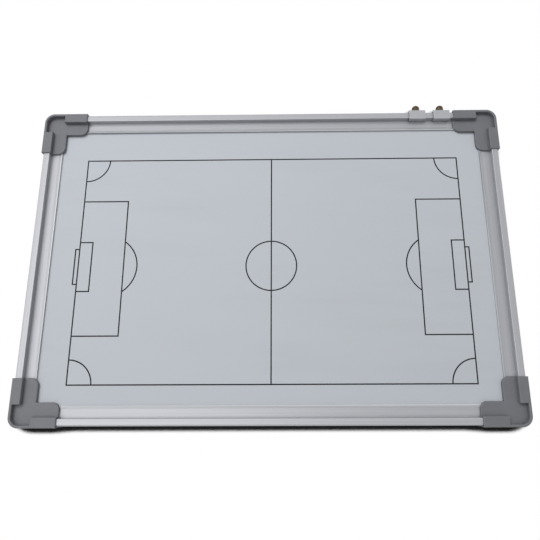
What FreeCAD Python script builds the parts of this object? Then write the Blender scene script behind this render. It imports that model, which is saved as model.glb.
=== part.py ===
import FreeCAD, Part
import os
import re
import Sketcher

# Dry-wipe tactics board lying on its back: +X along the long side, +Y towards the top rail, +Z up.
# The origin is under the middle of the frame, in the plane of the four caps' back faces.

os.makedirs("parts", exist_ok=True)
doc = FreeCAD.newDocument("tactics_board")
sheet = doc.addObject("Spreadsheet::Sheet", "sizes")

driving_sizes = {
    # Frame outside and the rails' extruded section
    "frame_width": 450.0,
    "frame_height": 300.0,
    "face_width": 17.2,
    "ridge_width": 6.4,
    "ridge_rise": 6.0,
    "ridge_round": 1.6,
    "ridge_inner_round": 0.5,
    "rail_wall": 1.2,
    "back_flange": 14.0,
    "lip_width": 2.9,
    "lip_rise": 0.6,
    # Sandwich panel held in the rails' groove
    "skin_thickness": 0.4,
    "core_thickness": 5.2,
    "panel_gap": 0.2,
    # Moulded corner caps
    "cap_back": 1.5,
    "cap_wall": 1.3,
    "cap_arm": 41.0,
    "cap_width": 20.0,
    "cap_corner": 18.3,
    "cap_rim": 2.4,
    "cap_round": 9.5,
    "cap_end_round": 7.0,
    "cap_edge_round": 0.7,
    "fit_gap": 0.1,
    "peg_length": 13.0,
    # Countersunk screws in the caps' backs
    "cap_screw_radius": 1.45,
    "cap_screw_length": 9.0,
    "cap_screw_head_radius": 2.6,
    "cap_screw_head_depth": 1.1,
    "cap_screw_tip": 2.0,
    "cap_screw_sink": 0.1,
    "cap_recess_length": 2.8,
    "cap_recess_width": 0.6,
    "cap_recess_depth": 0.7,
    "screw_room": 0.2,
    "thread_gap": 0.04,
    # Hanger clips on the top rail
    "clip_width": 16.2,
    "clip_wall": 1.5,
    "clip_gap": 0.15,
    "clip_drop": 11.5,
    "clip_round": 1.0,
    "clip_end_gap": 3.8,
    "clip_spacing": 7.9,
    "clamp_drop": 3.6,
    # Pressed-in bush, washer and clamp screw of each clip
    "bush_radius": 3.4,
    "bush_flange": 1.4,
    "bush_spigot_radius": 2.8,
    "washer_radius": 3.6,
    "washer_thickness": 0.6,
    "washer_lift": 0.5,
    "washer_room": 0.08,
    "clamp_radius": 2.0,
    "clamp_tip_chamfer": 0.4,
    "clamp_tip_gap": 0.4,
    "clamp_head_radius": 3.7,
    "clamp_head_height": 4.4,
    "clamp_head_round": 3.1,
    "recess_length": 3.6,
    "recess_width": 0.9,
    "recess_depth": 1.3,
    # Printed pitch
    "margin_left": 26.45,
    "margin_right": 22.65,
    "margin_top": 30.15,
    "margin_bottom": 17.55,
    "line_width": 1.2,
    "ink_thickness": 0.05,
    "centre_radius": 23.9,
    "penalty_depth": 43.2,
    "penalty_breadth": 131.0,
    "goal_area_depth": 12.1,
    "goal_area_breadth": 47.7,
    "goal_depth": 3.8,
    "goal_breadth": 34.0,
    "arc_radius": 29.6,
    "arc_place": 26.4,
    "corner_radius": 22.1,
}
for row, (alias, value) in enumerate(driving_sizes.items(), start=1):
    sheet.set("A%d" % row, alias)
    sheet.set("B%d" % row, str(value))
    sheet.setAlias("B%d" % row, alias)
doc.recompute()

# Levels and places that follow from the driving sizes, as expressions of their names
panel_back = "(cap_back + rail_wall)"
surface = "(cap_back + rail_wall + 2 * skin_thickness + core_thickness)"
flange_top = f"({surface} + rail_wall)"
ridge_top = f"({surface} + ridge_rise)"
lip_top = f"({flange_top} + lip_rise)"
plate_top = f"({lip_top} + fit_gap + cap_wall)"
cover_top = f"({ridge_top} + fit_gap + cap_wall)"
half_width = "(frame_width / 2)"
half_height = "(frame_height / 2)"
cap_out = "(cap_wall + fit_gap)"
rail_start = "(cap_corner + cap_wall + fit_gap)"
peg_start = "(cap_corner + cap_wall)"
cap_screw_place = f"({peg_start} + peg_length / 2)"
panel_inset = "(ridge_width + panel_gap)"
clip_face = "(clip_gap + clip_wall)"
clip_right_place = f"({half_width} - cap_arm - clip_end_gap - clip_width / 2)"
clip_left_place = f"({clip_right_place} - clip_width - clip_spacing)"
clamp_level = f"({ridge_top} - clamp_drop)"
washer_face = f"({clip_face} + bush_flange + washer_lift)"
head_face = f"({washer_face} + washer_thickness)"
head_top = f"({head_face} + clamp_head_height)"
pitch_left = f"(face_width + margin_left - {half_width})"
pitch_right = f"({half_width} - face_width - margin_right)"
pitch_bottom = f"(face_width + margin_bottom - {half_height})"
pitch_top = f"({half_height} - face_width - margin_top)"
pitch_middle_x = f"(({pitch_left} + {pitch_right}) / 2)"
pitch_middle_y = f"(({pitch_bottom} + {pitch_top}) / 2)"

same_place = 0.01
parts = []


def sized(expression):
    return re.sub(r"[a-z][a-z_]*", r"sizes.\g<0>", expression)


def number(expression):
    return float(sheet.evalExpression(sized(expression)))


def bind(item, **expressions):
    for name, expression in expressions.items():
        item.setExpression(name, sized(expression))


def place(item, x="0", y="0", z="0", turn=0.0):
    item.Placement.Rotation = FreeCAD.Rotation(FreeCAD.Vector(0, 0, 1), turn)
    for axis, expression in zip("xyz", (x, y, z)):
        item.setExpression("Placement.Base." + axis, sized(expression))


def new_body(label):
    body = doc.addObject("PartDesign::Body", label)
    body.Label = label
    return body


def finish(item):
    parts.append(item)
    return item


def new_sketch(body, name, role):
    plane = next(feature for feature in body.Origin.OriginFeatures if feature.Role == role)
    sketch = body.newObject("Sketcher::SketchObject", name)
    sketch.AttachmentSupport = [(plane, "")]
    sketch.MapMode = "FlatFace"
    return sketch


def draw_outline(sketch, points):
    # Each corner is held by its two distances from the sketch's origin.
    corners = [FreeCAD.Vector(number(x), number(y), 0) for x, y in points]
    sides = [
        sketch.addGeometry(Part.LineSegment(start, end), False)
        for start, end in zip(corners, corners[1:] + corners[:1])
    ]
    for side, following in zip(sides, sides[1:] + sides[:1]):
        sketch.addConstraint(Sketcher.Constraint("Coincident", side, 2, following, 1))
    axes = {"DistanceX": -2, "DistanceY": -1}
    for side, point, corner in zip(sides, points, corners):
        for kind, expression, value in zip(axes, point, (corner.x, corner.y)):
            if expression == "0":
                sketch.addConstraint(Sketcher.Constraint("PointOnObject", side, 1, axes[kind]))
            else:
                index = sketch.addConstraint(Sketcher.Constraint(kind, -1, 1, side, 1, value))
                sketch.setExpression("Constraints[%d]" % index, sized(expression))


def extrude(body, name, outlines, length):
    # The section lies in the body's YZ plane and is extruded both ways along X.
    sketch = new_sketch(body, name + "_section", "YZ_Plane")
    for outline in outlines:
        draw_outline(sketch, outline)
    pad = body.newObject("PartDesign::Pad", name)
    pad.Profile = sketch
    pad.SideType = "Symmetric"
    bind(pad, Length=length)
    doc.recompute()
    return pad


def revolve(body, name, outline, role):
    # The half section turns about the sketch's upright axis.
    sketch = new_sketch(body, name + "_section", role)
    draw_outline(sketch, outline)
    turned = body.newObject("PartDesign::Revolution", name)
    turned.Profile = sketch
    turned.ReferenceAxis = (sketch, ["V_Axis"])
    turned.Angle = 360.0
    doc.recompute()
    return turned


def box_feature(body, kind, name, x_range, y_range, z_range):
    feature = body.newObject("PartDesign::" + kind, name)
    ranges = (("Length", "x", x_range), ("Width", "y", y_range), ("Height", "z", z_range))
    for size, axis, (low, high) in ranges:
        feature.setExpression(size, sized(f"({high}) - ({low})"))
        feature.setExpression("Placement.Base." + axis, sized(low))
    return feature


def bore_feature(body, name, radius, depth, x="0", y="0", z="0", along_y=False):
    feature = body.newObject("PartDesign::SubtractiveCylinder", name)
    bind(feature, Radius=radius, Height=depth)
    if along_y:
        feature.Placement.Rotation = FreeCAD.Rotation(FreeCAD.Vector(1, 0, 0), -90)
    for axis, expression in zip("xyz", (x, y, z)):
        feature.setExpression("Placement.Base." + axis, sized(expression))
    return feature


def round_edges(body, name, radius, chosen):
    doc.recompute()
    base = body.Tip
    names = [
        "Edge%d" % index for index, edge in enumerate(base.Shape.Edges, start=1) if chosen(edge)
    ]
    if not names:
        raise RuntimeError(body.Label + ": no edge to round for " + name)
    fillet = body.newObject("PartDesign::Fillet", name)
    fillet.Base = (base, names)
    bind(fillet, Radius=radius)
    doc.recompute()
    return fillet


def lies_at(edge, **coordinates):
    # True where every corner of the edge has these coordinates.
    return all(
        abs(getattr(vertex.Point, axis) - value) < same_place
        for vertex in edge.Vertexes
        for axis, value in coordinates.items()
    )


def is_upright(edge):
    first = edge.Vertexes[0].Point
    last = edge.Vertexes[-1].Point
    return lies_at(edge, x=first.x, y=first.y) and abs(first.z - last.z) > same_place


# Rails and stiles: one section, with u measured inwards from the frame's outer face

rail_section = [
    ("0", "cap_back"),
    ("back_flange", "cap_back"),
    ("back_flange", panel_back),
    ("ridge_width", panel_back),
    ("ridge_width", surface),
    ("face_width", surface),
    ("face_width", lip_top),
    ("face_width - lip_width", flange_top),
    ("ridge_width", flange_top),
    ("ridge_width", ridge_top),
    ("0", ridge_top),
]
rail_chamber = [
    ("rail_wall", panel_back),
    ("ridge_width - rail_wall", panel_back),
    ("ridge_width - rail_wall", f"{ridge_top} - rail_wall"),
    ("rail_wall", f"{ridge_top} - rail_wall"),
]


def make_rail(label, span, x, y, turn):
    body = new_body(label)
    extrude(body, label + "_extrusion", [rail_section, rail_chamber], f"{span} - 2 * {rail_start}")
    for end, side in (("near", "-"), ("far", "")):
        bore_feature(
            body, f"{label}_{end}_hole", "cap_screw_radius + screw_room", "rail_wall",
            x=f"{side}({span} / 2 - {cap_screw_place})", y="ridge_width / 2", z="cap_back",
        )
    top = number(ridge_top)
    round_edges(body, label + "_outer_round", "ridge_round", lambda edge: lies_at(edge, y=0, z=top))
    inner = number("ridge_width")
    round_edges(
        body, label + "_inner_round", "ridge_inner_round", lambda edge: lies_at(edge, y=inner, z=top)
    )
    place(body, x=x, y=y, turn=turn)
    return finish(body)


make_rail("bottom_rail", "frame_width", "0", "-" + half_height, 0)
make_rail("top_rail", "frame_width", "0", half_height, 180)
make_rail("left_stile", "frame_height", "-" + half_width, "0", -90)
make_rail("right_stile", "frame_height", half_width, "0", 90)

# Sandwich panel: back sheet, core and writing surface


def make_sheet(label, level, thickness):
    sheet_box = doc.addObject("Part::Box", label)
    sheet_box.Label = label
    bind(
        sheet_box,
        Length=f"frame_width - 2 * {panel_inset}",
        Width=f"frame_height - 2 * {panel_inset}",
        Height=thickness,
    )
    place(sheet_box, f"{panel_inset} - {half_width}", f"{panel_inset} - {half_height}", level)
    return finish(sheet_box)


make_sheet("back_sheet", panel_back, "skin_thickness")
make_sheet("core_panel", f"{panel_back} + skin_thickness", "core_thickness")
make_sheet("writing_surface", f"{surface} - skin_thickness", "skin_thickness")

# Corner caps, modelled at the frame's lower left corner and turned to the others


def turned_ranges(along, across, swapped):
    return (across, along) if swapped else (along, across)


def make_cap(label, x, y, turn):
    body = new_body(label)
    outside = f"-{cap_out}"
    cover_edge = f"ridge_width + {cap_out}"
    past_end = f"cap_arm + {cap_out}"
    rim_edge = f"cap_rim - {cap_out}"
    room = (peg_start, past_end)
    above_plate = (flange_top, cover_top)
    # Each box is given by its ranges along the arm, across it and upwards.
    filled = {
        "arm": ((outside, "cap_arm"), (outside, "cap_width"), ("0", plate_top)),
        "cover": (("cap_corner", "cap_arm"), (outside, cover_edge), above_plate),
        "rim": ((outside, peg_start), (outside, rim_edge), above_plate),
    }
    ridge_room = ("cap_back", f"{ridge_top} + fit_gap")
    flange_room = (surface, f"{lip_top} + fit_gap")
    emptied = {
        "ridge_room": (room, ("-fit_gap", "ridge_width + fit_gap"), ridge_room),
        "flange_room": (room, ("ridge_width", "face_width + fit_gap"), flange_room),
        "back_room": (room, ("ridge_width", "back_flange + fit_gap"), ("cap_back", panel_back)),
    }
    peg = (
        (peg_start, f"{peg_start} + peg_length"),
        ("rail_wall + fit_gap", "ridge_width - rail_wall - fit_gap"),
        (f"{panel_back} + fit_gap", f"{ridge_top} - rail_wall - fit_gap"),
    )

    def add_both_ways(kind, name, along, across, upright):
        for swapped, direction in ((False, "x"), (True, "y")):
            x_range, y_range = turned_ranges(along, across, swapped)
            box_feature(body, kind, f"{label}_{name}_{direction}", x_range, y_range, upright)

    for name, ranges in filled.items():
        add_both_ways("AdditiveBox", name, *ranges)
    panel_room = ("ridge_width + fit_gap", past_end)
    panel_levels = (panel_back, surface)
    box_feature(body, "SubtractiveBox", label + "_panel_room", panel_room, panel_room, panel_levels)
    for name, ranges in emptied.items():
        add_both_ways("SubtractiveBox", name, *ranges)
    add_both_ways("AdditiveBox", "peg", *peg)

    corner = -number(cap_out)
    rim_corner = number(rim_edge)
    arm_end, arm_side = number("cap_arm"), number("cap_width")
    round_edges(
        body, label + "_corner_round", "cap_round",
        lambda edge: is_upright(edge) and lies_at(edge, x=corner, y=corner),
    )
    round_edges(
        body, label + "_rim_round", "cap_round - cap_rim",
        lambda edge: is_upright(edge) and lies_at(edge, x=rim_corner, y=rim_corner),
    )
    round_edges(
        body, label + "_end_round", "cap_end_round",
        lambda edge: is_upright(edge)
        and (lies_at(edge, x=arm_end, y=arm_side) or lies_at(edge, x=arm_side, y=arm_end)),
    )
    cover_level, plate_level = number(cover_top), number(plate_top)
    round_edges(body, label + "_cover_round", "cap_edge_round", lambda edge: lies_at(edge, z=cover_level))
    round_edges(
        body, label + "_plate_round", "cap_edge_round",
        lambda edge: lies_at(edge, z=plate_level)
        and all(max(vertex.Point.x, vertex.Point.y) > arm_side - same_place for vertex in edge.Vertexes),
    )
    for swapped, direction in ((False, "x"), (True, "y")):
        hole_x, hole_y = turned_ranges(cap_screw_place, "ridge_width / 2", swapped)
        bore_feature(
            body, f"{label}_hole_{direction}", "cap_screw_radius + thread_gap",
            "cap_screw_length + screw_room", x=hole_x, y=hole_y,
        )
        sink = body.newObject("PartDesign::SubtractiveCone", f"{label}_sink_{direction}")
        bind(
            sink,
            Radius1="cap_screw_head_radius + screw_room",
            Radius2="cap_screw_radius + thread_gap",
            Height="cap_screw_head_depth + cap_screw_sink",
        )
        for axis, expression in zip("xy", (hole_x, hole_y)):
            sink.setExpression("Placement.Base." + axis, sized(expression))
    doc.recompute()
    place(body, x=x, y=y, turn=turn)
    return finish(body)


corners = {
    "bottom_left": ("-", "-"),
    "bottom_right": ("", "-"),
    "top_right": ("", ""),
    "top_left": ("-", ""),
}
for quarter, (corner_name, (x_sign, y_sign)) in enumerate(corners.items()):
    make_cap("corner_cap_" + corner_name, x_sign + half_width, y_sign + half_height, 90 * quarter)

# Countersunk screws, two in the back of each cap

cap_screw_section = [
    ("0", "cap_screw_sink"),
    ("cap_screw_head_radius", "cap_screw_sink"),
    ("cap_screw_radius", "cap_screw_sink + cap_screw_head_depth"),
    ("cap_screw_radius", "cap_screw_length - cap_screw_tip"),
    ("0", "cap_screw_length"),
]


def make_cap_screws(label, x_sign, y_sign):
    screws = []
    recess = ("-cap_recess_length / 2", "cap_recess_length / 2")
    slot = ("-cap_recess_width / 2", "cap_recess_width / 2")
    depth = ("cap_screw_sink", "cap_screw_sink + cap_recess_depth")
    for swapped, direction in ((False, "x"), (True, "y")):
        body = new_body(f"{label}_{direction}")
        revolve(body, body.Label + "_turning", cap_screw_section, "XZ_Plane")
        for arm, (x_range, y_range) in enumerate(((recess, slot), (slot, recess))):
            box_feature(body, "SubtractiveBox", f"{body.Label}_recess_{arm}", x_range, y_range, depth)
        inset_x, inset_y = turned_ranges(cap_screw_place, "ridge_width / 2", swapped)
        place(body, f"{x_sign}({half_width} - {inset_x})", f"{y_sign}({half_height} - {inset_y})")
        screws.append(body)
    group = doc.addObject("Part::Compound", label)
    group.Label = label
    group.Links = screws
    return finish(group)


for corner_name, (x_sign, y_sign) in corners.items():
    make_cap_screws("corner_screws_" + corner_name, x_sign, y_sign)

# Hanger clips: a saddle over the top rail's ridge, with a bush, washer and clamp screw in its outer wall

clip_section = [
    (f"-{clip_face}", f"{ridge_top} - clip_drop"),
    ("-clip_gap", f"{ridge_top} - clip_drop"),
    ("-clip_gap", f"{ridge_top} + clip_gap"),
    ("ridge_width + clip_gap", f"{ridge_top} + clip_gap"),
    ("ridge_width + clip_gap", f"{flange_top} + clip_gap"),
    (f"ridge_width + {clip_face}", f"{flange_top} + clip_gap"),
    (f"ridge_width + {clip_face}", f"{ridge_top} + {clip_face}"),
    (f"-{clip_face}", f"{ridge_top} + {clip_face}"),
]
# The turned pieces' sections: radius, and distance out from the top rail's outer face
bore = "clamp_radius + thread_gap"
bush_section = [
    (bore, "clip_gap"),
    ("bush_spigot_radius", "clip_gap"),
    ("bush_spigot_radius", clip_face),
    ("bush_radius", clip_face),
    ("bush_radius", f"{clip_face} + bush_flange"),
    (bore, f"{clip_face} + bush_flange"),
]
washer_section = [
    ("clamp_radius + washer_room", washer_face),
    ("washer_radius", washer_face),
    ("washer_radius", head_face),
    ("clamp_radius + washer_room", head_face),
]
clamp_section = [
    ("0", "clamp_tip_gap"),
    ("clamp_radius - clamp_tip_chamfer", "clamp_tip_gap"),
    ("clamp_radius", "clamp_tip_gap + clamp_tip_chamfer"),
    ("clamp_radius", head_face),
    ("clamp_head_radius", head_face),
    ("clamp_head_radius", head_top),
    ("0", head_top),
]


def make_clip(label, clip_place):
    body = new_body(label)
    extrude(body, label + "_saddle", [clip_section], "clip_width")
    bore_feature(
        body, label + "_hole", "bush_spigot_radius + thread_gap", "clip_wall + 2 * clip_gap",
        y=f"-{clip_face} - clip_gap", z=clamp_level, along_y=True,
    )
    top, outside = number(f"{ridge_top} + {clip_face}"), -number(clip_face)
    inside = number(f"ridge_width + {clip_face}")
    round_edges(
        body, label + "_top_round", "clip_round",
        lambda edge: lies_at(edge, y=outside, z=top) or lies_at(edge, y=inside, z=top),
    )
    place(body, clip_place, half_height, turn=180)
    return finish(body)


def make_turned(label, section, clip_place):
    body = new_body(label)
    revolve(body, label + "_turning", section, "XY_Plane")
    place(body, clip_place, half_height, clamp_level)
    return finish(body)


def make_clamp_screw(label, clip_place):
    body = make_turned(label, clamp_section, clip_place)
    crown = number(head_top)
    round_edges(body, label + "_dome", "clamp_head_round", lambda edge: lies_at(edge, y=crown))
    recess = ("-recess_length / 2", "recess_length / 2")
    slot = ("-recess_width / 2", "recess_width / 2")
    for arm, (x_range, z_range) in enumerate(((recess, slot), (slot, recess))):
        depth = (f"{head_top} - recess_depth", head_top)
        box_feature(body, "SubtractiveBox", f"{label}_recess_{arm}", x_range, depth, z_range)


for side, clip_place in (("left", clip_left_place), ("right", clip_right_place)):
    make_clip("hanger_clip_" + side, clip_place)
    make_turned("threaded_bush_" + side, bush_section, clip_place)
    make_turned("clamp_washer_" + side, washer_section, clip_place)
    make_clamp_screw("clamp_screw_" + side, clip_place)

# Printed pitch: one ink film of lines and arcs, about the pitch's centre

ink_level = (surface, f"{surface} + ink_thickness")
half_line = "line_width / 2"
half_length = f"(({pitch_right} - {pitch_left}) / 2)"
half_breadth = f"(({pitch_top} - {pitch_bottom}) / 2)"
strokes = []


def add_ink_box(name, x_range, y_range):
    block = doc.addObject("Part::Box", name)
    for size, (low, high) in zip(("Length", "Width", "Height"), (x_range, y_range, ink_level)):
        block.setExpression(size, sized(f"({high}) - ({low})"))
    place(block, f"{pitch_middle_x} + {x_range[0]}", f"{pitch_middle_y} + {y_range[0]}", ink_level[0])
    return block


def rule_line(name, x_range, y_range):
    # A stroke along one axis, its ends squared off half a line's width past its ends.
    ranges = [(f"{low} - {half_line}", f"{high} + {half_line}") for low, high in (x_range, y_range)]
    strokes.append(add_ink_box(name, *ranges))


def add_ring(name, x, y, radius):
    discs = []
    for edge, sign in (("outer", "+"), ("inner", "-")):
        disc = doc.addObject("Part::Cylinder", f"{name}_{edge}")
        bind(disc, Radius=f"{radius} {sign} {half_line}", Height="ink_thickness")
        place(disc, f"{pitch_middle_x} + {x}", f"{pitch_middle_y} + {y}", ink_level[0])
        discs.append(disc)
    ring = doc.addObject("Part::Cut", name)
    ring.Base, ring.Tool = discs
    return ring


def add_arc(name, x, y, radius, x_range, y_range):
    arc = doc.addObject("Part::Common", name)
    arc.Base = add_ring(name + "_ring", x, y, radius)
    arc.Tool = add_ink_box(name + "_window", x_range, y_range)
    strokes.append(arc)


def rule_box(name, side, near, far, breadth):
    # Three sides of a box on a goal line, between two distances from the halfway line.
    low, high = (f"-({far})", f"-({near})") if side == "-" else (near, far)
    front = f"{side}({near})" if near != half_length else f"{side}({far})"
    half = f"{breadth} / 2"
    rule_line(name + "_front", (front, front), (f"-{half}", half))
    for edge, sign in (("lower", "-"), ("upper", "")):
        rule_line(f"{name}_{edge}", (low, high), (sign + half, sign + half))


for name, sign in (("lower", "-"), ("upper", "")):
    touch_line = sign + half_breadth
    rule_line(name + "_touch_line", (f"-{half_length}", half_length), (touch_line, touch_line))
rule_line("halfway_line", ("0", "0"), (f"-{half_breadth}", half_breadth))
strokes.append(add_ring("centre_circle", "0", "0", "centre_radius"))
for end, side in (("left", "-"), ("right", "")):
    goal_line = side + half_length
    rule_line(end + "_goal_line", (goal_line, goal_line), (f"-{half_breadth}", half_breadth))
    penalty_line = f"{half_length} - penalty_depth"
    goal_area_line = f"{half_length} - goal_area_depth"
    goal_back = f"{half_length} + goal_depth"
    rule_box(end + "_penalty_area", side, penalty_line, half_length, "penalty_breadth")
    rule_box(end + "_goal_area", side, goal_area_line, half_length, "goal_area_breadth")
    rule_box(end + "_goal", side, half_length, goal_back, "goal_breadth")
    box_front = f"{side}({penalty_line})"
    window = (box_front, "0") if side == "-" else ("0", box_front)
    add_arc(
        end + "_penalty_arc", f"{side}({half_length} - arc_place)", "0", "arc_radius",
        window, ("-arc_radius - line_width", "arc_radius + line_width"),
    )
    x_window = (goal_line, "0") if side == "-" else ("0", goal_line)
    for edge, sign in (("lower", "-"), ("upper", "")):
        touch_line = sign + half_breadth
        y_window = (touch_line, "0") if sign == "-" else ("0", touch_line)
        add_arc(f"{end}_{edge}_corner", goal_line, touch_line, "corner_radius", x_window, y_window)

markings = doc.addObject("Part::MultiFuse", "pitch_markings")
markings.Label = "pitch_markings"
markings.Shapes = strokes
markings.Refine = True
finish(markings)

# Every object is checked before anything is written.

doc.recompute()
for item in doc.Objects:
    if "Invalid" in item.State or "Error" in item.State:
        raise RuntimeError("failed: " + item.Label)
for part in parts:
    if part.Shape.isNull() or not part.Shape.isValid() or not part.Shape.Solids:
        raise RuntimeError("no valid solid: " + part.Label)
for part in parts:
    part.Shape.exportStep(f"parts/{part.Label}.step")
    box = part.Shape.BoundBox
    print(part.Label, len(part.Shape.Solids), round(part.Shape.Volume, 2), box)
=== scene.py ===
from math import radians

import bmesh
import bpy
from mathutils import Matrix, Vector

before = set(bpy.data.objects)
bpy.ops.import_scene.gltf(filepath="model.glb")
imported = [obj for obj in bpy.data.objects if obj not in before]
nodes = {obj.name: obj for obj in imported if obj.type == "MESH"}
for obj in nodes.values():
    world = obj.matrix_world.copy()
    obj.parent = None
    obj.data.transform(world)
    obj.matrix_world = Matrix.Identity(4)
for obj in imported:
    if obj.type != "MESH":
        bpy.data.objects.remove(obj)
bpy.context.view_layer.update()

sides = ("left", "right")
corners = ("bottom_left", "bottom_right", "top_right", "top_left")
white = (1, 1, 1, 1)
scene = bpy.context.scene
scene.view_settings.view_transform = "Standard"
print("frame loaded:", len(nodes), "nodes")


# Node helpers
def addNode(tree, kind, values=None, **settings):
    node = tree.nodes.new(kind)
    for key, value in settings.items():
        setattr(node, key, value)
    for key, value in (values or {}).items():
        node.inputs[key].default_value = value
    return node


def link(tree, source, target):
    tree.links.new(source, target)


# Node tree of a material or world, with nothing in it yet
def emptyTree(owner):
    owner.use_nodes = True
    owner.node_tree.nodes.clear()
    return owner.node_tree


def newGroup(name, inputs):
    tree = bpy.data.node_groups.new(name, "ShaderNodeTree")
    for label, value in inputs.items():
        kind = "NodeSocketVector" if isinstance(value, tuple) else "NodeSocketFloat"
        socket = tree.interface.new_socket(label, in_out="INPUT", socket_type=kind)
        socket.default_value = value
    tree.interface.new_socket("Value", in_out="OUTPUT", socket_type="NodeSocketFloat")
    return tree, addNode(tree, "NodeGroupInput"), addNode(tree, "NodeGroupOutput")


def even(scale):
    return (scale,) * 3


def stretched(tree, entry):
    coords = addNode(tree, "ShaderNodeTexCoord")
    scaled = addNode(tree, "ShaderNodeVectorMath", operation="MULTIPLY")
    link(tree, coords.outputs["Object"], scaled.inputs[0])
    link(tree, entry.outputs["Scale"], scaled.inputs[1])
    return scaled.outputs["Vector"]


def addNoise(tree, vector, values):
    noise = addNode(tree, "ShaderNodeTexNoise", values)
    link(tree, vector, noise.inputs["Vector"])
    return noise.outputs["Fac"]


def combine(tree, operation, first, second):
    node = addNode(tree, "ShaderNodeMath", operation=operation)
    link(tree, first, node.inputs[0])
    link(tree, second, node.inputs[1])
    return node.outputs["Value"]


# 0 at low and before it, 1 at high and beyond
def between(tree, source, low, high, curve="SMOOTHSTEP"):
    spread = addNode(tree, "ShaderNodeMapRange", {"From Min": low, "From Max": high},
                     interpolation_type=curve)
    link(tree, source, spread.inputs["Value"])
    return spread.outputs["Result"]


# Ends a group: its mask, as strong as the amount asked for
def giveMask(tree, entry, end, mask):
    amount = entry.outputs["Amount"]
    link(tree, combine(tree, "MULTIPLY", mask, amount), end.inputs["Value"])
    return tree


# Noise of one size, or drawn out along an axis that has a small scale
grainSettings = {"noise": {"Scale": 1.0, "Detail": 3.0, "Roughness": 0.6}, "spread": (0.3, 0.7)}


def makeGrain(settings):
    tree, entry, end = newGroup("fineGrain", {"Scale": even(1.0), "Amount": 1.0})
    noise = addNoise(tree, stretched(tree, entry), settings["noise"])
    return giveMask(tree, entry, end, between(tree, noise, *settings["spread"]))


# Long streaks broken up by wide patches, as a cloth leaves them
wipeSettings = {
    "streaks": {"Scale": 1.0, "Detail": 5.0, "Distortion": 0.4}, "streakSpread": (0.42, 0.7),
    "patches": {"Scale": 9.0, "Detail": 2.0}, "patchSpread": (0.35, 0.65),
}


def makeWipe(settings):
    inputs = {"Scale": even(1.0), "Turn": even(0.0), "Amount": 1.0}
    tree, entry, end = newGroup("wipeMarks", inputs)
    coords = addNode(tree, "ShaderNodeTexCoord").outputs["Object"]
    turned = addNode(tree, "ShaderNodeMapping")
    link(tree, coords, turned.inputs["Vector"])
    link(tree, entry.outputs["Turn"], turned.inputs["Rotation"])
    link(tree, entry.outputs["Scale"], turned.inputs["Scale"])
    streaks = addNoise(tree, turned.outputs["Vector"], settings["streaks"])
    patches = addNoise(tree, coords, settings["patches"])
    mask = combine(tree, "MULTIPLY", between(tree, streaks, *settings["streakSpread"]),
                   between(tree, patches, *settings["patchSpread"]))
    return giveMask(tree, entry, end, mask)


# Edges and corners, broken up by noise: outer edges are found from inside the solid and lightened
# as wear and painted highlight
edgeSettings = {
    "scale": 400, "inside": True, "samples": 8, "open": 0.85, "shut": 0.4,
    "noise": {"Scale": 1.0, "Detail": 3.0}, "spread": (0.35, 0.6),
}
# Inner corners and crevices, found from outside the solid, darkened as painted shade
cornerShadeSettings = {
    "scale": 300, "inside": False, "samples": 8, "open": 0.9, "shut": 0.3,
    "noise": {"Scale": 1.0, "Detail": 3.0}, "spread": (0.2, 0.6),
}


def makeCorners(name, settings):
    inputs = {"Reach": 0.0, "Scale": even(settings["scale"]), "Amount": 1.0}
    tree, entry, end = newGroup(name, inputs)
    around = addNode(tree, "ShaderNodeAmbientOcclusion", samples=settings["samples"],
                     inside=settings["inside"], only_local=settings["inside"])
    link(tree, entry.outputs["Reach"], around.inputs["Distance"])
    closed = between(tree, around.outputs["AO"], settings["open"], settings["shut"], "LINEAR")
    noise = addNoise(tree, stretched(tree, entry), settings["noise"])
    mask = combine(tree, "MULTIPLY", closed, between(tree, noise, *settings["spread"]))
    return giveMask(tree, entry, end, mask)


# Flat crystals of a zinc coat, each in its own tone
def makeSpangle():
    tree, entry, end = newGroup("spangle", {"Scale": even(1.0), "Amount": 1.0})
    cells = addNode(tree, "ShaderNodeTexVoronoi", {"Scale": 1.0})
    link(tree, stretched(tree, entry), cells.inputs["Vector"])
    tone = addNode(tree, "ShaderNodeSeparateColor")
    link(tree, cells.outputs["Color"], tone.inputs["Color"])
    return giveMask(tree, entry, end, tone.outputs["Red"])


effects = {
    "fineGrain": makeGrain(grainSettings),
    "wipeMarks": makeWipe(wipeSettings),
    "edgeWearAndHighlight": makeCorners("edgeWearAndHighlight", edgeSettings),
    "cornerShade": makeCorners("cornerShade", cornerShadeSettings),
    "spangle": makeSpangle(),
}
print("effects made:", len(effects))

mixSockets = {"under": 6, "over": 7, "result": 2}  # a Mix node's sockets for colours


def useEffect(tree, name, values):
    return addNode(tree, "ShaderNodeGroup", values, node_tree=effects[name]).outputs["Value"]


# Each layer's colour over what is under it, where its effect says
def layColours(tree, colour, layers):
    tone = None
    for effect, values, over in layers:
        mix = addNode(tree, "ShaderNodeMix", data_type="RGBA")
        under = mix.inputs[mixSockets["under"]]
        link(tree, useEffect(tree, effect, values), mix.inputs["Factor"])
        if tone is None:
            under.default_value = (*colour, 1)
        else:
            link(tree, tone, under)
        mix.inputs[mixSockets["over"]].default_value = (*over, 1)
        tone = mix.outputs[mixSockets["result"]]
    return tone


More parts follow.
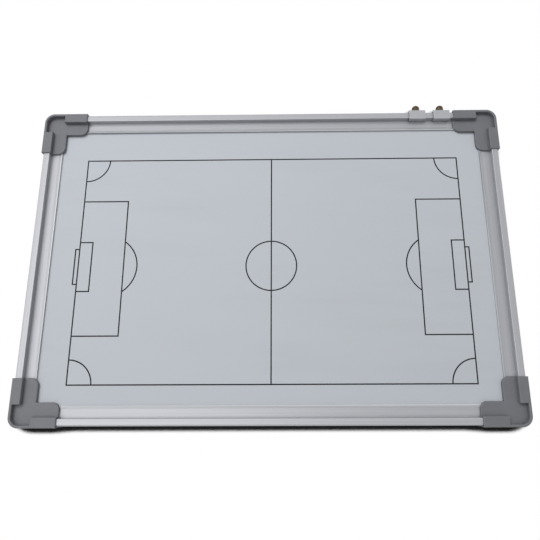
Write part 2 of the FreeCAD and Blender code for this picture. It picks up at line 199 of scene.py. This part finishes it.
# One material: layers of colour, a roughness range and a bump
def buildMaterial(name, settings):
    material = bpy.data.materials.new(name)
    tree = emptyTree(material)
    end = addNode(tree, "ShaderNodeOutputMaterial")
    surface = addNode(tree, "ShaderNodeBsdfPrincipled", settings["surface"])
    link(tree, surface.outputs["BSDF"], end.inputs["Surface"])
    tone = layColours(tree, settings["colour"], settings["layers"])
    link(tree, tone, surface.inputs["Base Color"])

    effect, values, low, high = settings["roughness"]
    spread = addNode(tree, "ShaderNodeMapRange", {"To Min": low, "To Max": high})
    link(tree, useEffect(tree, effect, values), spread.inputs["Value"])
    link(tree, spread.outputs["Result"], surface.inputs["Roughness"])

    effect, values, strength, depth = settings["bump"]
    bump = addNode(tree, "ShaderNodeBump", {"Strength": strength, "Distance": depth})
    link(tree, useEffect(tree, effect, values), bump.inputs["Height"])
    link(tree, bump.outputs["Normal"], surface.inputs["Normal"])
    return material


def dress(material, *names):
    for name in names:
        for slot in nodes[name].material_slots:
            slot.material = material


# White enamel with the faint streaks of a wiped board, darkened by painted shade where it meets
# the frame
enamelSettings = {
    "surface": {"IOR": 1.5, "Specular IOR Level": 0.2},
    "colour": (0.514, 0.543, 0.583),
    "layers": [
        ("wipeMarks", {"Scale": (7, 70, 1), "Turn": (0, 0, 0.35), "Amount": 0.18},
         (0.44, 0.465, 0.503)),
        ("wipeMarks", {"Scale": (9, 40, 1), "Turn": (0, 0, -0.5), "Amount": 0.15},
         (0.55, 0.58, 0.625)),
        ("cornerShade", {"Reach": 0.0015, "Amount": 0.1}, (0.25, 0.25, 0.26)),
    ],
    "roughness": ("wipeMarks", {"Scale": (5, 50, 1), "Turn": (0, 0, 0.2)}, 0.38, 0.52),
    "bump": ("fineGrain", {"Scale": even(700)}, 0.05, 0.0002),
}
dress(buildMaterial("enamel", enamelSettings), "writing_surface")

# Black ink of the pitch lines, a little rubbed
inkSettings = {
    "surface": {"IOR": 1.45, "Specular IOR Level": 0.12},
    "colour": (0.012, 0.013, 0.017),
    "layers": [
        ("fineGrain", {"Scale": even(1600), "Amount": 0.6}, (0.030, 0.031, 0.036)),
        ("wipeMarks", {"Scale": (8, 60, 1), "Turn": (0, 0, 0.3), "Amount": 0.3},
         (0.065, 0.068, 0.076)),
    ],
    "roughness": ("fineGrain", {"Scale": even(900)}, 0.40, 0.60),
    "bump": ("fineGrain", {"Scale": even(1600)}, 0.10, 0.0001),
}
dress(buildMaterial("ink", inkSettings), "pitch_markings")

# Scales of the die lines, along the bar and across it
dieLines = {"broad": (4, 900), "fine": (9, 2160), "worn": (2, 120)}


def drawnOut(lines, axis):
    along, across = dieLines[lines]
    return tuple(along if each == axis else across for each in range(3))


# Satin aluminium, with die lines along the length of the bar, near-white edges of wear and painted
# highlight, and painted shade in its corners
def railSettings(axis):
    fine = drawnOut("fine", axis)
    return {
        "surface": {"Metallic": 0.65, "IOR": 1.5, "Specular IOR Level": 0.2},
        "colour": (0.410, 0.417, 0.440),
        "layers": [
            ("fineGrain", {"Scale": drawnOut("broad", axis), "Amount": 0.6}, (0.333, 0.34, 0.362)),
            ("fineGrain", {"Scale": fine, "Amount": 0.35}, (0.448, 0.455, 0.479)),
            ("edgeWearAndHighlight", {"Reach": 0.0011, "Scale": drawnOut("worn", axis), "Amount": 0.9},
             (0.85, 0.855, 0.87)),
            ("cornerShade", {"Reach": 0.0025, "Amount": 0.12}, (0.07, 0.07, 0.075)),
        ],
        "roughness": ("fineGrain", {"Scale": fine}, 0.38, 0.50),
        "bump": ("fineGrain", {"Scale": fine}, 0.08, 0.0001),
    }


dress(buildMaterial("railAlongX", railSettings(axis=0)), "top_rail", "bottom_rail")
dress(buildMaterial("railAlongY", railSettings(axis=1)), "left_stile", "right_stile")

# Grey moulded caps with a fine spark finish, lighter edges of wear and painted highlight, and
# painted shade in their hollows
capSettings = {
    "surface": {"IOR": 1.48, "Specular IOR Level": 0.5},
    "colour": (0.156, 0.159, 0.174),
    "layers": [
        ("fineGrain", {"Scale": even(2200), "Amount": 0.5}, (0.123, 0.126, 0.141)),
        ("fineGrain", {"Scale": even(60), "Amount": 0.35}, (0.174, 0.178, 0.196)),
        ("edgeWearAndHighlight", {"Reach": 0.0007, "Amount": 0.5}, (0.26, 0.265, 0.28)),
        ("cornerShade", {"Reach": 0.003, "Amount": 0.3}, (0.045, 0.045, 0.05)),
    ],
    "roughness": ("fineGrain", {"Scale": even(1500)}, 0.42, 0.56),
    "bump": ("fineGrain", {"Scale": even(1800)}, 0.18, 0.0002),
}
dress(buildMaterial("cap", capSettings), *("corner_cap_" + corner for corner in corners))

# Folded aluminium of the clips, brushed along the rail, with lighter edges of wear and painted
# highlight and strong painted shade near their walls
clipSettings = {
    "surface": {"Metallic": 0.8, "IOR": 1.5},
    "colour": (0.42, 0.425, 0.445),
    "layers": [
        ("fineGrain", {"Scale": (8, 1200, 1200), "Amount": 0.5}, (0.37, 0.375, 0.395)),
        ("edgeWearAndHighlight", {"Reach": 0.0005, "Amount": 0.4}, (0.54, 0.545, 0.56)),
        ("cornerShade", {"Reach": 0.006, "Amount": 0.9}, (0.05, 0.05, 0.055)),
    ],
    "roughness": ("fineGrain", {"Scale": (12, 1600, 1600)}, 0.30, 0.44),
    "bump": ("fineGrain", {"Scale": (12, 1600, 1600)}, 0.10, 0.0001),
}
dress(buildMaterial("clip", clipSettings), *("hanger_clip_" + side for side in sides))

# Dull brass, browned with age, with lighter edges of wear and painted highlight and painted shade
# in its hollows
brassSettings = {
    "surface": {"Metallic": 1.0, "IOR": 1.5},
    "colour": (0.105, 0.076, 0.044),
    "layers": [
        ("fineGrain", {"Scale": even(350), "Amount": 0.7}, (0.052, 0.038, 0.024)),
        ("edgeWearAndHighlight", {"Reach": 0.0004, "Amount": 0.4}, (0.32, 0.25, 0.14)),
        ("cornerShade", {"Reach": 0.003, "Amount": 0.8}, (0.03, 0.02, 0.012)),
    ],
    "roughness": ("fineGrain", {"Scale": even(500)}, 0.18, 0.36),
    "bump": ("fineGrain", {"Scale": even(1200)}, 0.06, 0.0001),
}
dress(buildMaterial("brass", brassSettings), *("clamp_screw_" + side for side in sides))

# Brighter brass of the washers, with painted shade in their hollows
washerSettings = {
    "surface": {"Metallic": 1.0, "IOR": 1.5},
    "colour": (0.26, 0.19, 0.10),
    "layers": [
        ("fineGrain", {"Scale": even(600), "Amount": 0.6}, (0.15, 0.105, 0.055)),
        ("cornerShade", {"Reach": 0.001, "Amount": 0.6}, (0.05, 0.035, 0.02)),
    ],
    "roughness": ("fineGrain", {"Scale": even(900)}, 0.26, 0.42),
    "bump": ("fineGrain", {"Scale": even(1500)}, 0.08, 0.0001),
}
dress(buildMaterial("washer", washerSettings), *("clamp_washer_" + side for side in sides))

# Browned steel of the pressed-in bushes, with lighter edges of wear and painted highlight and
# painted shade in their hollows
bushSettings = {
    "surface": {"Metallic": 1.0, "IOR": 1.5},
    "colour": (0.16, 0.15, 0.135),
    "layers": [
        ("fineGrain", {"Scale": even(450), "Amount": 0.7}, (0.09, 0.082, 0.072)),
        ("edgeWearAndHighlight", {"Reach": 0.0004, "Amount": 0.4}, (0.34, 0.33, 0.31)),
        ("cornerShade", {"Reach": 0.001, "Amount": 0.6}, (0.03, 0.028, 0.025)),
    ],
    "roughness": ("fineGrain", {"Scale": even(700)}, 0.30, 0.48),
    "bump": ("fineGrain", {"Scale": even(1400)}, 0.08, 0.0001),
}
dress(buildMaterial("bush", bushSettings), *("threaded_bush_" + side for side in sides))

# Bright steel of the caps' screws, with painted shade in their recesses
steelSettings = {
    "surface": {"Metallic": 1.0, "IOR": 1.5},
    "colour": (0.52, 0.525, 0.53),
    "layers": [
        ("fineGrain", {"Scale": even(500), "Amount": 0.6}, (0.40, 0.405, 0.41)),
        ("cornerShade", {"Reach": 0.001, "Amount": 0.6}, (0.08, 0.08, 0.08)),
    ],
    "roughness": ("fineGrain", {"Scale": even(800)}, 0.24, 0.40),
    "bump": ("fineGrain", {"Scale": even(1500)}, 0.08, 0.0001),
}
dress(buildMaterial("steel", steelSettings), *("corner_screws_" + corner for corner in corners))

# Zinc coated sheet on the back, with painted shade in its corners
zincSettings = {
    "surface": {"Metallic": 0.9, "IOR": 1.5},
    "colour": (0.40, 0.41, 0.42),
    "layers": [
        ("spangle", {"Scale": even(240), "Amount": 0.6}, (0.54, 0.55, 0.565)),
        ("fineGrain", {"Scale": even(14), "Amount": 0.3}, (0.47, 0.475, 0.48)),
        ("cornerShade", {"Reach": 0.004, "Amount": 0.4}, (0.16, 0.16, 0.16)),
    ],
    "roughness": ("spangle", {"Scale": even(240)}, 0.36, 0.52),
    "bump": ("spangle", {"Scale": even(240)}, 0.05, 0.0001),
}
dress(buildMaterial("zincSheet", zincSettings), "back_sheet")

# Pressed brown fibres of the core
fibreSettings = {
    "surface": {"IOR": 1.45},
    "colour": (0.30, 0.19, 0.10),
    "layers": [
        ("fineGrain", {"Scale": (1400, 1400, 300), "Amount": 0.7}, (0.42, 0.29, 0.17)),
        ("fineGrain", {"Scale": (250, 250, 2500), "Amount": 0.4}, (0.22, 0.14, 0.07)),
    ],
    "roughness": ("fineGrain", {"Scale": even(900)}, 0.78, 0.92),
    "bump": ("fineGrain", {"Scale": (1400, 1400, 400)}, 0.30, 0.0003),
}
dress(buildMaterial("fibreboard", fibreSettings), "core_panel")
print("materials made:", len(bpy.data.materials))


# What camera, mirror and glass see differs from what lights the scene
def splitBySight(tree, end, lighting, seen):
    rays = addNode(tree, "ShaderNodeLightPath").outputs
    sight = combine(tree, "MAXIMUM", rays["Is Camera Ray"], rays["Is Glossy Ray"])
    sight = combine(tree, "MAXIMUM", sight, rays["Is Transmission Ray"])
    mix = addNode(tree, "ShaderNodeMixShader")
    link(tree, sight, mix.inputs["Fac"])
    link(tree, lighting, mix.inputs[1])
    link(tree, seen, mix.inputs[2])
    link(tree, mix.outputs["Shader"], end.inputs["Surface"])


# White floor with a short painted shadow round the frame, longest at its near edge
floorSettings = {
    "half": 6.0, "level": -0.0002, "grey": 0.8,
    "reach": 0.0125, "lean": (0.0, 0.78, 0.62), "samples": 32,
    "dark": 0.71, "light": 0.84, "shade": 0.012,
}


def makeFloorMaterial(settings):
    material = bpy.data.materials.new("floor")
    tree = emptyTree(material)
    end = addNode(tree, "ShaderNodeOutputMaterial")
    matte = addNode(tree, "ShaderNodeBsdfDiffuse", {"Color": (*even(settings["grey"]), 1)})
    pale = addNode(tree, "ShaderNodeEmission")
    near = addNode(tree, "ShaderNodeAmbientOcclusion", samples=settings["samples"],
                   values={"Distance": settings["reach"], "Normal": settings["lean"]})
    shade = addNode(tree, "ShaderNodeMapRange", interpolation_type="SMOOTHSTEP",
                    values={"From Min": settings["dark"], "From Max": settings["light"],
                            "To Min": settings["shade"]})
    link(tree, near.outputs["AO"], shade.inputs["Value"])
    link(tree, shade.outputs["Result"], pale.inputs["Color"])
    splitBySight(tree, end, matte.outputs["BSDF"], pale.outputs["Emission"])
    return material


def makeFloor(settings):
    mesh = bpy.data.meshes.new("floor")
    shape = bmesh.new()
    bmesh.ops.create_grid(shape, x_segments=1, y_segments=1, size=settings["half"])
    bmesh.ops.translate(shape, verts=shape.verts, vec=(0, 0, settings["level"]))
    shape.to_mesh(mesh)
    shape.free()
    mesh.materials.append(makeFloorMaterial(settings))
    floor = bpy.data.objects.new("floor", mesh)
    scene.collection.objects.link(floor)


makeFloor(floorSettings)

worldSettings = {"fill": 0.49, "backdrop": 1.0}


def makeWorld(settings):
    scene.world = bpy.data.worlds.new("studio")
    tree = emptyTree(scene.world)
    end = addNode(tree, "ShaderNodeOutputWorld")
    fill = addNode(tree, "ShaderNodeBackground", {"Color": white, "Strength": settings["fill"]})
    backdrop = addNode(tree, "ShaderNodeBackground",
                       {"Color": white, "Strength": settings["backdrop"]})
    splitBySight(tree, end, fill.outputs["Background"], backdrop.outputs["Background"])


makeWorld(worldSettings)

# A soft lamp above and behind the left corner
keySettings = {
    "name": "keyLamp", "place": (-0.6, 0.95, 1.6), "size": 1.0, "power": 22.6, "mirrored": False,
}
# A broad pale card on the left that shows only in reflections
cardSettings = {
    "name": "paleCard", "place": (-0.72, 0.02, 1.16), "size": 1.8, "power": 11.2, "mirrored": True,
}


def makeLamp(settings):
    lamp = bpy.data.lights.new(settings["name"], "AREA")
    lamp.size = settings["size"]
    lamp.energy = settings["power"]
    holder = bpy.data.objects.new(settings["name"], lamp)
    holder.location = settings["place"]
    holder.rotation_euler = (-holder.location).to_track_quat("-Z", "Y").to_euler()
    holder.visible_glossy = settings["mirrored"]
    holder.visible_diffuse = not settings["mirrored"]
    scene.collection.objects.link(holder)


makeLamp(keySettings)
makeLamp(cardSettings)

# Camera of the photograph, worked out from the frame's corners
cameraSettings = {
    "place": (0.017763, -0.112859, 0.435835), "aim": (0.012399, -0.008623, 0.0), "roll": -3.237,
    "lens": 31.1186, "sensor": 36.0, "shift": -0.023247, "nearest": 0.01,
}


def makeCamera(settings):
    data = bpy.data.cameras.new("camera")
    data.lens = settings["lens"]
    data.sensor_width = settings["sensor"]
    data.sensor_fit = "HORIZONTAL"
    data.shift_x = settings["shift"]
    data.clip_start = settings["nearest"]
    camera = bpy.data.objects.new("camera", data)
    scene.collection.objects.link(camera)
    place = Vector(settings["place"])
    facing = (Vector(settings["aim"]) - place).to_track_quat("-Z", "Y").to_matrix().to_4x4()
    roll = Matrix.Rotation(radians(settings["roll"]), 4, "Z")
    camera.matrix_world = Matrix.Translation(place) @ facing @ roll
    scene.camera = camera


makeCamera(cameraSettings)
print("floor, lamps and camera placed")
